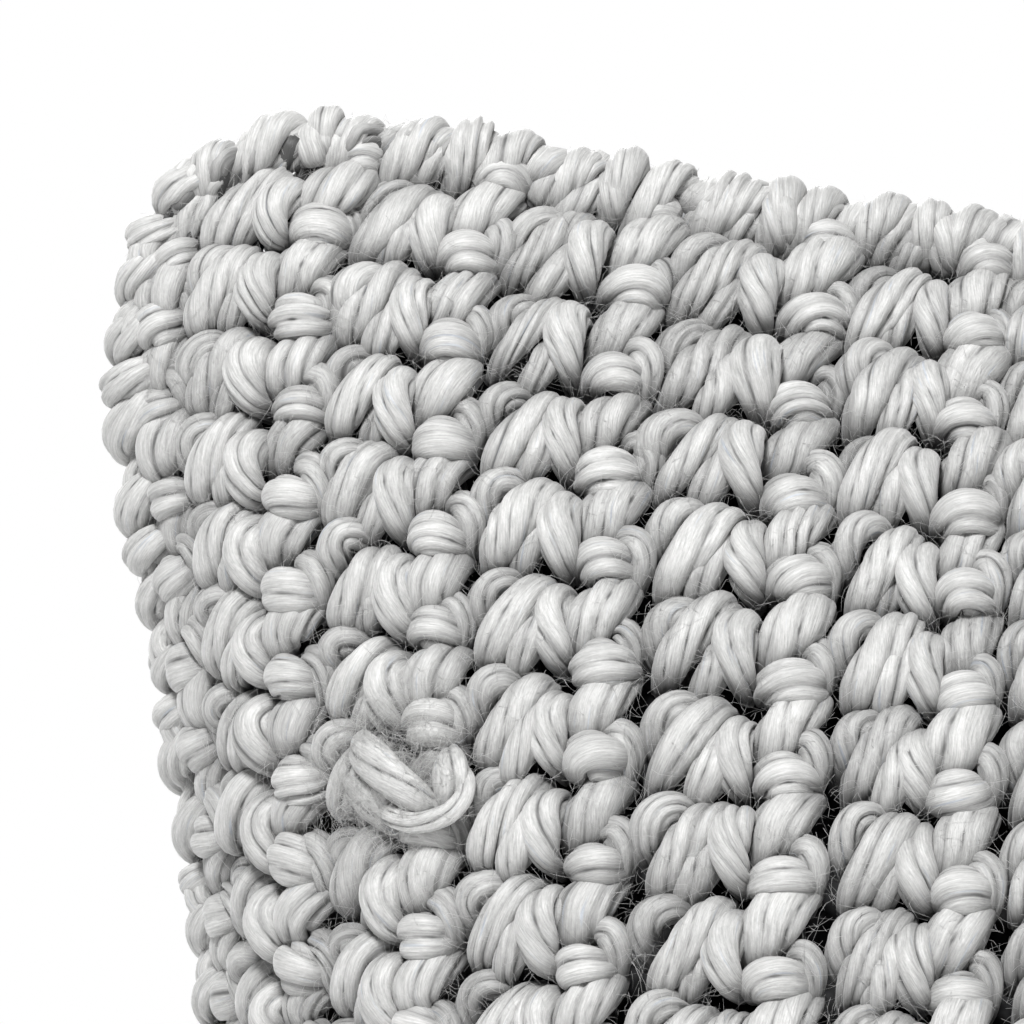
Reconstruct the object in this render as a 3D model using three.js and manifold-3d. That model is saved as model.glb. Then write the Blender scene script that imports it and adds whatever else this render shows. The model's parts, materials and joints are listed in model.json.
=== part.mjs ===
// A square throw pillow with a chunky crocheted cover, standing on its bottom edge. Millimetres, +Z up.
// The front faces -Y. The origin is at the middle of the foot, where the pillow rests.
import * as THREE from 'three';
import { mergeVertices } from 'three/addons/utils/BufferGeometryUtils.js';
import Module from 'manifold-3d';

// Driving dimensions of the pillow
const WIDTH = 412;
const FULL_HEIGHT = 412;
const THICKNESS = 172; // through the middle
const PULL_IN = 30; // how far the middle of a free side pulls in behind its corners
const BOTTOM_PULL_IN = 7; // the same for the bottom side, which the floor holds straight
const FLOOR_CUT = 14; // height lost where the bottom edge is pressed flat
const CORNER_ROUND = 0.11; // share of the half side that the corner's rounding takes
const CORNER_POWER = 11; // how late along the side the rounding starts
const GRID = 14; // cells across a panel, an even number

// How the fullness falls from the middle to a side: (1 - share ^ power) ^ edge. The filling has settled, so the
// top is a thin wedge, and the left, right and bottom sides are round.
const SIDE_CROWN = { power: 3, edge: 0.5 };
const TOP_CROWN = { power: 1.8, edge: 1 };
const BOTTOM_CROWN = { power: 2.8, edge: 0.5 };

// Layers: each skin's depth below the outer surface, and its distance from the middle plane at the rim
const PANEL = { outer: { depth: 0, edge: 3.4 }, inner: { depth: 11, edge: 3.4 } };
const LINING = { outer: { depth: 13, edge: 2.5 }, inner: { depth: 14.2, edge: 1.4 } };
const TICKING = { outer: { depth: 18, edge: 1.6 }, inner: { depth: 19.4, edge: 0.7 } };
const FILL = { depth: 22.5, edge: 0.4 };

// The joining yarn lies in the groove between the panels' edges
const SEAM = { halfWidth: 3, gap: 0.4, depth: 9 };
const INSERT_SEAM = { halfWidth: 0.4, outerGap: 0.3, innerGap: 0.15 };

// The zip runs across the lower back on a flat arc that follows the crown; its left and right are as seen from
// behind. The tape's reach and the room for it are shares of the chain's half arc.
const ZIP = { height: 75, halfSpan: 140, middleDepth: 5, endDepth: 3.4, slit: 3.6 };
const TAPE = { halfThick: 0.3, inner: 2.8, outer: 12, clear: 1, reach: 1.04, room: 1.06 };
const CHAIN = { halfThick: 1.3, inner: 0.6, outer: 2.4 };
const SLIDER = { plateIn: 1.7, plateOut: 2.9, halfTall: 3.1, web: 0.25, length: 10 };
const BAIL = { foot: 1.6, halfLong: 2.8, window: 2.4, beam: 1, halfTall: 0.9 };
const PULL = { length: 24, halfTall: 2.6, thick: 1.1, eye: 4.4, gap: 0.4 };
const STOP = { length: 3, gap: 0.5, halfTall: 2.4, halfThick: 1.3 };
const ZIP_STEPS = 24;
const SLIDER_REST_SHARE = 0.94; // closed: the slider stands near the end of the chain
const OVERLAP = 0.1; // how far joined blocks of the slider reach into each other

// The lump where a new length of yarn was worked in, on the front
const JOIN = { x: -148, z: 282, halfLong: 10, halfTall: 5, halfThick: 4, turn: -0.5, lift: 0.4 };
const JOIN_FACETS = { around: 20, along: 12 };

const BIG = 1000; // larger than the pillow
const SAME_POINT = 1e-4; // vertices closer than this are one
const HALVINGS = 40; // turns of a search that halves its range each time
const SMALL_SHARE = 0.01; // a short step across the skin, as a share of the half side
const HALF_WIDTH = WIDTH / 2;
const HALF_HEIGHT = FULL_HEIGHT / 2;
const MIDDLE_Z = HALF_HEIGHT - FLOOR_CUT;

const wasm = await Module();
wasm.setup();

const yarn = new THREE.MeshStandardMaterial({ color: 0xbcbbb9, roughness: 0.95, metalness: 0 });
const liningCloth = new THREE.MeshStandardMaterial({ color: 0x4c4b4a, roughness: 0.9, metalness: 0 });
const ticking = new THREE.MeshStandardMaterial({ color: 0xe9e7e1, roughness: 0.9, metalness: 0 });
const fibrefill = new THREE.MeshStandardMaterial({ color: 0xf6f5f2, roughness: 1, metalness: 0 });
const tapeCloth = new THREE.MeshStandardMaterial({ color: 0x8f8e8c, roughness: 0.85, metalness: 0 });
const teethPlastic = new THREE.MeshStandardMaterial({ color: 0x9a9997, roughness: 0.45, metalness: 0 });
const zincAlloy = new THREE.MeshStandardMaterial({ color: 0x8a8c8f, roughness: 0.35, metalness: 1 });

const pillow = new THREE.Group();

function addNode(name, geometry, material) {
  const mesh = new THREE.Mesh(geometry, material);
  mesh.name = name;
  pillow.add(mesh);
  return mesh;
}

// The pillow's skin -----------------------------------------------------------------------------

// Half the width at height share b, and half the height at width share a, for a skin `depth` inside
function halfWidthAt(b, depth) {
  return HALF_WIDTH - depth - PULL_IN * (1 - b * b);
}

function halfHeightAt(a, b, depth) {
  const pull = b < 0 ? BOTTOM_PULL_IN : PULL_IN;
  return HALF_HEIGHT - depth - pull * (1 - a * a);
}

function rise(share, { power, edge }) {
  return (1 - Math.abs(share) ** power) ** edge;
}

// Shares of the half side that crowd towards the edges, where the skin turns fastest
function share(i) {
  return Math.sin((Math.PI / 2) * ((2 * i) / GRID - 1));
}

// One point of the skin on side -1 (front) or 1 (back); `edge` is the skin's distance from the middle plane
function skinPoint(a, b, depth, side, edge) {
  const crown = rise(a, SIDE_CROWN) * rise(b, b > 0 ? TOP_CROWN : BOTTOM_CROWN);
  const roundX = 1 - CORNER_ROUND * Math.abs(b) ** CORNER_POWER;
  const roundZ = 1 - CORNER_ROUND * Math.abs(a) ** CORNER_POWER;
  const x = a * halfWidthAt(b, depth) * roundX;
  const z = MIDDLE_Z + b * halfHeightAt(a, b, depth) * roundZ;
  const y = side * (edge + (THICKNESS / 2 - depth - edge) * crown);
  return new THREE.Vector3(x, y, Math.max(z, depth));
}

// The closed body between two skins, the first facing the front and the second facing the back
function betweenSkins(frontSkin, backSkin) {
  const points = [];
  const faces = [];
  const row = GRID + 1;
  const layer = row * row;
  for (const { side, depth, edge } of [frontSkin, backSkin]) {
    for (let j = 0; j <= GRID; j++) {
      for (let i = 0; i <= GRID; i++) {
        points.push(skinPoint(share(i), share(j), depth, side, edge));
      }
    }
  }
  const quad = (p, q, r, s) => faces.push(p, q, r, p, r, s);
  for (let j = 0; j < GRID; j++) {
    for (let i = 0; i < GRID; i++) {
      const p = j * row + i;
      const q = p + layer;
      quad(p, p + 1, p + row + 1, p + row);
      quad(q + row, q + row + 1, q + 1, q);
    }
  }
  for (let k = 0; k < GRID; k++) {
    const bottom = k;
    const top = GRID * row + k;
    const left = k * row;
    const right = left + GRID;
    quad(bottom, bottom + layer, bottom + 1 + layer, bottom + 1);
    quad(top + 1, top + 1 + layer, top + layer, top);
    quad(left + row, left + row + layer, left + layer, left);
    quad(right, right + layer, right + row + layer, right + row);
  }
  return closedGeometry(points, faces);
}

// A shell on one side of the pillow, between an outer and an inner skin
function shell(side, { outer, inner }) {
  const skins = [{ side, ...outer }, { side, ...inner }];
  return side < 0 ? betweenSkins(...skins) : betweenSkins(...skins.reverse());
}

// Solid geometry from points and triangles, with shared vertices merged
function closedGeometry(points, faces) {
  const geometry = new THREE.BufferGeometry().setFromPoints(points);
  geometry.setIndex(faces);
  return mergeVertices(geometry, SAME_POINT);
}

// The closed body through a run of sections with equally many corners; a ring's last section meets its first
function sweptBody(sections, isRing) {
  const points = sections.flat();
  const faces = [];
  const total = points.length;
  const count = sections[0].length;
  const spans = isRing ? sections.length : sections.length - 1;
  for (let s = 0; s < spans; s++) {
    for (let k = 0; k < count; k++) {
      const p = s * count + k;
      const q = s * count + ((k + 1) % count);
      const pAhead = (p + count) % total;
      const qAhead = (q + count) % total;
      faces.push(p, q, qAhead, p, qAhead, pAhead);
    }
  }
  if (!isRing) {
    const end = total - count;
    for (let k = 1; k < count - 1; k++) faces.push(0, k + 1, k, end, end + k, end + k + 1);
  }
  return closedGeometry(points, faces);
}

// Joins and cuts --------------------------------------------------------------------------------

function toSolid(geometry) {
  const bare = geometry.clone();
  bare.deleteAttribute('normal');
  bare.deleteAttribute('uv');
  const merged = mergeVertices(bare, SAME_POINT);
  const vertProperties = new Float32Array(merged.attributes.position.array);
  const triVerts = new Uint32Array(merged.index.array);
  return new wasm.Manifold(new wasm.Mesh({ numProp: 3, vertProperties, triVerts }));
}

function fromSolid(solid) {
  const mesh = solid.getMesh();
  const geometry = new THREE.BufferGeometry();
  geometry.setAttribute('position', new THREE.BufferAttribute(mesh.vertProperties, 3));
  geometry.setIndex(new THREE.BufferAttribute(mesh.triVerts, 1));
  return geometry;
}

function boxSolid(x, y, z, at) {
  return toSolid(new THREE.BoxGeometry(x, y, z).translate(at.x, at.y, at.z));
}

// Everything above (side 1) or below (side -1) the height z
function halfSpace(z, side) {
  return boxSolid(BIG, BIG, BIG, new THREE.Vector3(0, 0, z + (side * BIG) / 2));
}

// The zip's arc ---------------------------------------------------------------------------------

// Where the back's skin is at the zip's height, found by halving the height share
function backSkinY(x) {
  let low = -1;
  let high = 0;
  for (let turn = 0; turn < HALVINGS; turn++) {
    const b = (low + high) / 2;
    const point = skinPoint(x / halfWidthAt(b, 0), b, 0, 1, PANEL.outer.edge);
    if (point.z < ZIP.height) low = b;
    else high = b;
  }
  const b = (low + high) / 2;
  return skinPoint(x / halfWidthAt(b, 0), b, 0, 1, PANEL.outer.edge).y;
}

const arcMiddleY = backSkinY(0) - ZIP.middleDepth;
const arcEndY = backSkinY(ZIP.halfSpan) - ZIP.endDepth;
const SAG = arcMiddleY - arcEndY;
const ARC_RADIUS = (ZIP.halfSpan ** 2 + SAG ** 2) / (2 * SAG);
const ARC_CENTRE_Y = arcMiddleY - ARC_RADIUS;
const ARC_HALF_ANGLE = Math.asin(ZIP.halfSpan / ARC_RADIUS);
const sliderRest = ARC_HALF_ANGLE * SLIDER_REST_SHARE;

// A point on the zip: angle along the arc, height above it, and distance out from it
function arcPoint(angle, up, out) {
  const radius = ARC_RADIUS + out;
  return new THREE.Vector3(radius * Math.sin(angle), ARC_CENTRE_Y + radius * Math.cos(angle), ZIP.height + up);
}

// Sweeps a closed outline of [up, out] points along the arc between two angles
function arcSweep(outline, from, to, steps) {
  const sections = [];
  for (let s = 0; s <= steps; s++) {
    const angle = from + ((to - from) * s) / steps;
    sections.push(outline.map(([up, out]) => arcPoint(angle, up, out)));
  }
  return sweptBody(sections, false);
}

// The four corners of a rectangle in [up, out], turning the way that makes the faces point out
function block(upLow, upHigh, outLow, outHigh) {
  return [[upLow, outLow], [upLow, outHigh], [upHigh, outHigh], [upHigh, outLow]];
}

// The cover's panels and lining -----------------------------------------------------------------

const tapeRoom = toSolid(
  arcSweep(
    block(-TAPE.outer - TAPE.clear, TAPE.outer + TAPE.clear, -TAPE.halfThick - SEAM.gap, TAPE.halfThick + SEAM.gap),
    -ARC_HALF_ANGLE * TAPE.room,
    ARC_HALF_ANGLE * TAPE.room,
    ZIP_STEPS,
  ),
);

function makeFront() {
  addNode('front_panel', shell(-1, PANEL), yarn);
  addNode('lining_front', shell(-1, LINING), liningCloth);
}

// The back is worked in two parts that meet at the zip; its crochet is grooved inside for the zip's tape
function makeBack() {
  const back = toSolid(shell(1, PANEL)).subtract(tapeRoom);
  const upper = back.intersect(halfSpace(ZIP.height + ZIP.slit, 1));
  const lower = back.intersect(halfSpace(ZIP.height - ZIP.slit, -1));
  addNode('back_upper_panel', fromSolid(upper), yarn);
  addNode('back_lower_panel', fromSolid(lower), yarn);
}

function makeBackLining() {
  const back = toSolid(shell(1, LINING));
  const half = TAPE.outer + TAPE.clear;
  addNode('lining_back_upper', fromSolid(back.intersect(halfSpace(ZIP.height + half, 1))), liningCloth);
  addNode('lining_back_lower', fromSolid(back.intersect(halfSpace(ZIP.height - half, -1))), liningCloth);
}

// The joining yarn ------------------------------------------------------------------------------

// A rectangular section of a strip along the rim, between two depths below the pillow's side; the place is given
// as shares of the half width and half height
function rimSection([a, b], halfWidth, top, base) {
  const corners = [[top, -1], [top, 1], [base, 1], [base, -1]];
  return corners.map(([depth, side]) => skinPoint(a, b, depth, side, halfWidth));
}

const RIM_END = 0.985; // share of the half side where the runs of joining yarn meet
const rimShare = (t) => RIM_END * Math.sin((Math.PI / 2) * (2 * t - 1));
const SIDES = {
  top: (t) => [-rimShare(t), 1],
  bottom: (t) => [rimShare(t), -1],
  left: (t) => [-1, -rimShare(t)],
  right: (t) => [1, rimShare(t)],
};

// Strips that fill the groove between the two panels
function makeSeams() {
  for (const [name, at] of Object.entries(SIDES)) {
    const sections = [];
    for (let s = 0; s <= GRID; s++) sections.push(rimSection(at(s / GRID), SEAM.halfWidth, 0, SEAM.depth));
    addNode(`seam_yarn_${name}`, sweptBody(sections, false), yarn);
  }
}

// The insert ------------------------------------------------------------------------------------

function makeInsert() {
  addNode('ticking_front', shell(-1, TICKING), ticking);
  addNode('ticking_back', shell(1, TICKING), ticking);
  addNode('fill_core', betweenSkins({ side: -1, ...FILL }, { side: 1, ...FILL }), fibrefill);
}

// One closed loop of stitching between the two halves of the ticking
function makeInsertSeam() {
  const loop = [];
  for (let k = 0; k < GRID; k++) loop.push([share(k), -1]);
  for (let k = 0; k < GRID; k++) loop.push([1, share(k)]);
  for (let k = GRID; k > 0; k--) loop.push([share(k), 1]);
  for (let k = GRID; k > 0; k--) loop.push([-1, share(k)]);
  const top = TICKING.outer.depth - INSERT_SEAM.outerGap;
  const base = TICKING.inner.depth + INSERT_SEAM.innerGap;
  const sections = loop.map((place) => rimSection(place, INSERT_SEAM.halfWidth, top, base));
  addNode('insert_seam', sweptBody(sections, true), ticking);
}

// The zip ---------------------------------------------------------------------------------------

function makeTapesAndChains() {
  for (const [name, sign] of [['upper', 1], ['lower', -1]]) {
    const tapeUps = [sign * TAPE.inner, sign * TAPE.outer].sort((p, q) => p - q);
    const chainUps = [sign * CHAIN.inner, sign * CHAIN.outer].sort((p, q) => p - q);
    const tape = block(...tapeUps, -TAPE.halfThick, TAPE.halfThick);
    const chain = block(...chainUps, -CHAIN.halfThick, CHAIN.halfThick);
    const tapeReach = ARC_HALF_ANGLE * TAPE.reach;
    addNode(`zip_tape_${name}`, arcSweep(tape, -tapeReach, tapeReach, ZIP_STEPS), tapeCloth);
    addNode(`zip_chain_${name}`, arcSweep(chain, -ARC_HALF_ANGLE, ARC_HALF_ANGLE, ZIP_STEPS), teethPlastic);
  }
}

// A block of the slider between two distances along the arc from its middle
function sliderBlock(outline, from, to) {
  return toSolid(arcSweep(outline, sliderRest + from / ARC_RADIUS, sliderRest + to / ARC_RADIUS, 1));
}

// The slider's outer and inner plates, joined by a thin web that runs in the gap between the chains, with an
// arched bail on the outer plate for the pull
function makeSlider() {
  const half = SLIDER.length / 2;
  const bailTop = SLIDER.plateOut + BAIL.window + BAIL.beam;
  const outerPlate = block(-SLIDER.halfTall, SLIDER.halfTall, SLIDER.plateIn, SLIDER.plateOut);
  const innerPlate = block(-SLIDER.halfTall, SLIDER.halfTall, -SLIDER.plateOut, -SLIDER.plateIn);
  const web = block(-SLIDER.web, SLIDER.web, -SLIDER.plateOut + OVERLAP, SLIDER.plateOut - OVERLAP);
  const bail = block(-BAIL.halfTall, BAIL.halfTall, SLIDER.plateOut - OVERLAP, bailTop);
  const windowOutline = block(-BIG, BIG, SLIDER.plateOut, SLIDER.plateOut + BAIL.window);
  const arch = sliderBlock(bail, -BAIL.halfLong, BAIL.halfLong).subtract(
    sliderBlock(windowOutline, -BAIL.foot, BAIL.foot),
  );
  const slider = [outerPlate, innerPlate, web]
    .map((outline) => sliderBlock(outline, -half, half))
    .reduce((all, solid) => all.add(solid), arch);
  addNode('zip_slider', fromSolid(slider), zincAlloy);
}

// A flat tab that lies along the zip towards the middle; the bar at the end of its eye turns under the bail
function makePull() {
  const bar = PULL.thick / 2;
  const eyeHalf = BAIL.halfTall + PULL.gap;
  const tabAt = new THREE.Vector3(bar - PULL.length / 2, 0, 0);
  const eyeAt = new THREE.Vector3(-bar - (PULL.eye - bar) / 2, 0, 0);
  const tab = boxSolid(PULL.length, PULL.thick, 2 * PULL.halfTall, tabAt);
  const eye = boxSolid(PULL.eye - bar, BIG, 2 * eyeHalf, eyeAt);
  const hinge = arcPoint(sliderRest, 0, SLIDER.plateOut + BAIL.window / 2);
  const pull = fromSolid(tab.subtract(eye));
  pull.rotateZ(-sliderRest);
  pull.translate(hinge.x, hinge.y, hinge.z);
  addNode('zip_pull', pull, zincAlloy);
}

function makeStops() {
  const turn = STOP.length / ARC_RADIUS;
  const clear = STOP.gap / ARC_RADIUS;
  const stop = block(-STOP.halfTall, STOP.halfTall, -STOP.halfThick, STOP.halfThick);
  for (const [name, sign] of [['left', 1], ['right', -1]]) {
    const near = sign * (ARC_HALF_ANGLE + clear);
    const far = near + sign * turn;
    addNode(`zip_stop_${name}`, arcSweep(stop, Math.min(near, far), Math.max(near, far), 1), zincAlloy);
  }
}

// Beyond the ends of the zip, joining yarn closes the back between its two parts
function makeZipEndSeams() {
  const outer = { ...PANEL.outer, depth: SEAM.gap };
  const inner = { ...PANEL.inner, depth: SEAM.depth };
  const band = toSolid(shell(1, { outer, inner }));
  const start = ARC_RADIUS * Math.sin(ARC_HALF_ANGLE * TAPE.room) + SEAM.gap;
  for (const [name, sign] of [['left', 1], ['right', -1]]) {
    const at = new THREE.Vector3(sign * (start + BIG / 2), 0, ZIP.height);
    const slab = boxSolid(BIG, BIG, 2 * (ZIP.slit - SEAM.gap), at);
    const run = band.intersect(slab);
    addNode(`seam_yarn_zip_${name}`, fromSolid(run), yarn);
  }
}

// The yarn join ---------------------------------------------------------------------------------

// The height and width shares of the front's skin at a place seen from the front
function sharesAt(x, z) {
  let a = x / HALF_WIDTH;
  let b = (z - MIDDLE_Z) / HALF_HEIGHT;
  for (let turn = 0; turn < HALVINGS; turn++) {
    a = x / halfWidthAt(b, 0);
    b = (z - MIDDLE_Z) / halfHeightAt(a, b, 0);
  }
  return [a, b];
}

// A flat lump of worked-in yarn, cut to the crochet below it
function makeYarnJoin() {
  const [a, b] = sharesAt(JOIN.x, JOIN.z);
  const onFront = (p, q) => skinPoint(p, q, 0, -1, PANEL.outer.edge);
  const centre = onFront(a, b);
  const across = onFront(a + SMALL_SHARE, b).sub(centre);
  const up = onFront(a, b + SMALL_SHARE).sub(centre);
  const outward = across.clone().cross(up).normalize();
  const turned = new THREE.Quaternion().setFromAxisAngle(new THREE.Vector3(0, 0, 1), JOIN.turn);
  const facing = new THREE.Quaternion().setFromUnitVectors(new THREE.Vector3(0, 0, 1), outward);
  const lump = new THREE.SphereGeometry(1, JOIN_FACETS.around, JOIN_FACETS.along);
  lump.scale(JOIN.halfLong, JOIN.halfTall, JOIN.halfThick);
  lump.applyQuaternion(turned);
  lump.applyQuaternion(facing);
  lump.translate(centre.x, centre.y, centre.z);
  const front = toSolid(shell(-1, PANEL));
  const cut = fromSolid(toSolid(lump).subtract(front));
  cut.translate(...outward.multiplyScalar(JOIN.lift).toArray());
  addNode('yarn_join', cut, yarn);
}

makeFront();
makeBack();
makeBackLining();
makeSeams();
makeZipEndSeams();
makeYarnJoin();
makeInsert();
makeInsertSeam();
makeTapesAndChains();
makeSlider();
makePull();
makeStops();

export default pillow;
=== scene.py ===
"""Chunky crocheted throw pillow: the looks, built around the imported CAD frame.

The crochet is made strand by strand. Lengths are in millimetres until a mesh is made, and then in metres.
The front faces -Y and +Z is up.
"""
import json
import math

import bmesh
import bpy
import numpy as np
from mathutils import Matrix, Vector


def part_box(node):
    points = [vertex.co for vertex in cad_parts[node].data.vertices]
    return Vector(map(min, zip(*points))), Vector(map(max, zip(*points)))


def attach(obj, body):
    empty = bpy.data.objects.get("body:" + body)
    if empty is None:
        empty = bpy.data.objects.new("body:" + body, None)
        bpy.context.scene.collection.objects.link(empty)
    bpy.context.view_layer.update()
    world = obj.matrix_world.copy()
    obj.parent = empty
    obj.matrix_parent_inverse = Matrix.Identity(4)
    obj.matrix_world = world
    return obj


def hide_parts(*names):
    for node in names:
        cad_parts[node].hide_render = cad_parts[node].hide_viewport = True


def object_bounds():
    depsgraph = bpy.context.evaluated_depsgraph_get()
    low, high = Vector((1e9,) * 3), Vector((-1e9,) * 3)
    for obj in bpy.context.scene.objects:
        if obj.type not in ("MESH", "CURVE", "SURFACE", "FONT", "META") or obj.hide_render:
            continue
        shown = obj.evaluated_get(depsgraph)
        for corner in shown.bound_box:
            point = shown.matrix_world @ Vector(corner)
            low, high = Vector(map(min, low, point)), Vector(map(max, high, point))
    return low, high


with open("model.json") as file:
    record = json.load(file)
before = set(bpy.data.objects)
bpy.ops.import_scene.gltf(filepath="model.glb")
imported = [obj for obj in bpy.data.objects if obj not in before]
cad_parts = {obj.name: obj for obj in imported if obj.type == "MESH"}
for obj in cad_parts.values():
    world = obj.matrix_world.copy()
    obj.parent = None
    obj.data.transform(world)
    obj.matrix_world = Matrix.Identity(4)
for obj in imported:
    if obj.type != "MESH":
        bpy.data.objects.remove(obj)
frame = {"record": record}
CAD_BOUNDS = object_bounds()
MM = 0.001

# Driving dimensions of the pillow's skin, in millimetres, as in the CAD model ---
WIDTH = 412.0
FULL_HEIGHT = 412.0
THICKNESS = 172.0
PULL_IN = 30.0
BOTTOM_PULL_IN = 7.0
FLOOR_CUT = 14.0
SIDE_CROWN = (3.0, 0.5)
TOP_CROWN = (1.8, 1.0)
BOTTOM_CROWN = (2.8, 0.5)
CORNER_ROUND = 0.11
CORNER_POWER = 11.0
MIDDLE_Z = FULL_HEIGHT / 2 - FLOOR_CUT
FLOOR_SOFTNESS = 1.5

# The crochet: pairs of rows run up the pillow, one row's front beside the next row's back
PAIRS = 16
STITCHES = 30
FIRST_PAIR = 0.42  # the left rim cuts the first pair of rows here
FINE_PAIRS = 7
FINE_STITCHES = 11
FINE = (22, 40)  # steps along a strand and sides round it, where the camera is near
PLAIN = (9, 12)  # the same elsewhere
SEED = 7

# The zip across the lower back, as in the CAD model
ZIP_Z = 75.0
SLIT = 3.7
SLIT_SOFTNESS = 0.8
TAPE_HALF_SPAN = 148.0
TAPE_HALF_TALL = 12.5
TAPE_FADE = 3.0
TAPE_ROOM = 0.9  # mm that the yarn stays out from the tape's middle


def rise(share, power, edge):
    """How full the pillow is at a share of its half side: 1 in the middle, 0 at the seam."""
    return np.clip(1 - abs(share) ** power, 0, 1) ** edge


def skin(a, b, side, depth=0.0):
    """Points of the skin, `depth` inside, at width share a and height share b."""
    upright = np.where(b > 0, rise(b, *TOP_CROWN), rise(b, *BOTTOM_CROWN))
    crown = rise(a, *SIDE_CROWN) * upright
    pull = np.where(b < 0, BOTTOM_PULL_IN, PULL_IN)
    half_width = WIDTH / 2 - depth - PULL_IN * (1 - b * b)
    half_height = FULL_HEIGHT / 2 - depth - pull * (1 - a * a)
    x = a * half_width * (1 - CORNER_ROUND * abs(b) ** CORNER_POWER)
    z = MIDDLE_Z + b * half_height * (1 - CORNER_ROUND * abs(a) ** CORNER_POWER)
    y = side * (THICKNESS / 2 - depth) * crown
    return np.stack([x, y, z], -1)


def soft_above(values, limit, softness):
    """Values, with those below the limit pressed up to it in a soft turn."""
    over = values - limit
    return limit + 0.5 * (over + np.sqrt(over * over + softness * softness))


def above_floor(points, floor=0.0):
    out = points.copy()
    out[..., 2] = soft_above(points[..., 2], floor, FLOOR_SOFTNESS)
    return out


def over_tape(points):
    """Presses yarn near the zip out of the room that its tape takes."""
    radius, centre_y = zip_arc()
    x, y, z = points[..., 0], points[..., 1], points[..., 2]
    pressed = soft_above(y, centre_y + np.sqrt(radius ** 2 - x ** 2) + TAPE_ROOM, SLIT_SOFTNESS)
    near = np.clip((TAPE_HALF_TALL - abs(z - ZIP_Z)) / TAPE_FADE + 1, 0, 1)
    near = near * np.clip((TAPE_HALF_SPAN - abs(x)) / TAPE_FADE + 1, 0, 1)
    out = points.copy()
    out[..., 1] = y + (pressed - y) * near
    return out


def above_slit(points):
    """Keeps yarn of the upper back clear of the zip and its slit."""
    out = over_tape(points)
    out[..., 2] = soft_above(points[..., 2], ZIP_Z + SLIT, SLIT_SOFTNESS)
    return out


def below_slit(points):
    """Keeps yarn of the lower back clear of the zip, its slit and the floor."""
    out = above_floor(over_tape(points))
    out[..., 2] = -soft_above(-out[..., 2], SLIT - ZIP_Z, SLIT_SOFTNESS)
    return out


# How the flat crochet lies on the skin ---
NET = 8  # net lines to a stitch
MARGIN = 2 * NET + 4  # net lines that run on past a rim
EVEN_ROUNDS = 10
RIM_REACH = 8  # lines over which a rim is rounded
THIN_SHARE = 0.7  # share of the local half thickness that a strand's path may go deep
THIN_ROOM = 1.2  # mm more than that
FIND_TURNS = 40
FIND_STEP = 0.1
FIND_SHARE = 0.6  # how much of the way a turn of the search goes
TINY = 1e-9


def even_net(columns, rows):
    """Width and height shares at which the skin's net has even steps both ways."""
    u = np.linspace(-1, 1, columns + 1)
    v = np.linspace(-1, 1, rows + 1)
    a = np.tile(np.sin(math.pi / 2 * u), (rows + 1, 1))
    b = np.tile(np.sin(math.pi / 2 * v)[:, None], (1, columns + 1))
    for _ in range(EVEN_ROUNDS):
        a = even_lines(a, b, u)
        b = even_lines(b.T, a.T, v, swap=True).T
    return a, b


def even_lines(moving, still, even, swap=False):
    """One round: spreads the shares along each line so that its steps on the skin are even."""
    out = moving.copy()
    for k in range(moving.shape[0]):
        points = skin(still[k], moving[k], -1) if swap else skin(moving[k], still[k], -1)
        steps = np.linalg.norm(np.diff(points, axis=0), axis=1)
        length = np.concatenate([[0], np.cumsum(steps)])
        out[k] = np.interp((even + 1) / 2 * length[-1], length, moving[k])
    return out


def unit(vectors):
    return vectors / np.maximum(np.linalg.norm(vectors, axis=-1, keepdims=True), TINY)


def around_rim(points):
    """Adds MARGIN lines past the first and last lines, mirrored through the middle plane."""
    flip = np.array([1.0, -1.0, 1.0])
    before = points[MARGIN:0:-1] * flip
    after = points[-2:-MARGIN - 2:-1] * flip
    return np.concatenate([before, points, after])


def softened(field, reach):
    """A running mean both ways, which turns the normals smoothly over the rim."""
    for axis in (0, 1):
        shifts = [np.roll(field, k, axis=axis) for k in range(-reach // 2, reach // 2 + 1)]
        field = np.mean(shifts, axis=0)
    return field


def rounded_rim(points):
    """Replaces the points near a rim by running means, which rounds the thin edge there."""
    mean = softened(points, RIM_REACH)
    lines = [np.arange(count) for count in points.shape[:2]]
    off = [np.minimum(abs(line - MARGIN), abs(line - (len(line) - 1 - MARGIN))) for line in lines]
    distance = np.minimum(off[0][:, None], off[1][None, :])
    share = np.clip(2 - distance / RIM_REACH, 0, 1)[..., None]
    return points * (1 - share) + mean * share


def between(grid, i, j):
    """The grid's values at places between its lines."""
    i0 = i.astype(int)
    j0 = j.astype(int)
    fi = (i - i0)[..., None]
    fj = (j - j0)[..., None]
    top = grid[j0, i0] * (1 - fi) + grid[j0, i0 + 1] * fi
    low = grid[j0 + 1, i0] * (1 - fi) + grid[j0 + 1, i0 + 1] * fi
    return top * (1 - fj) + low * fj


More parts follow.
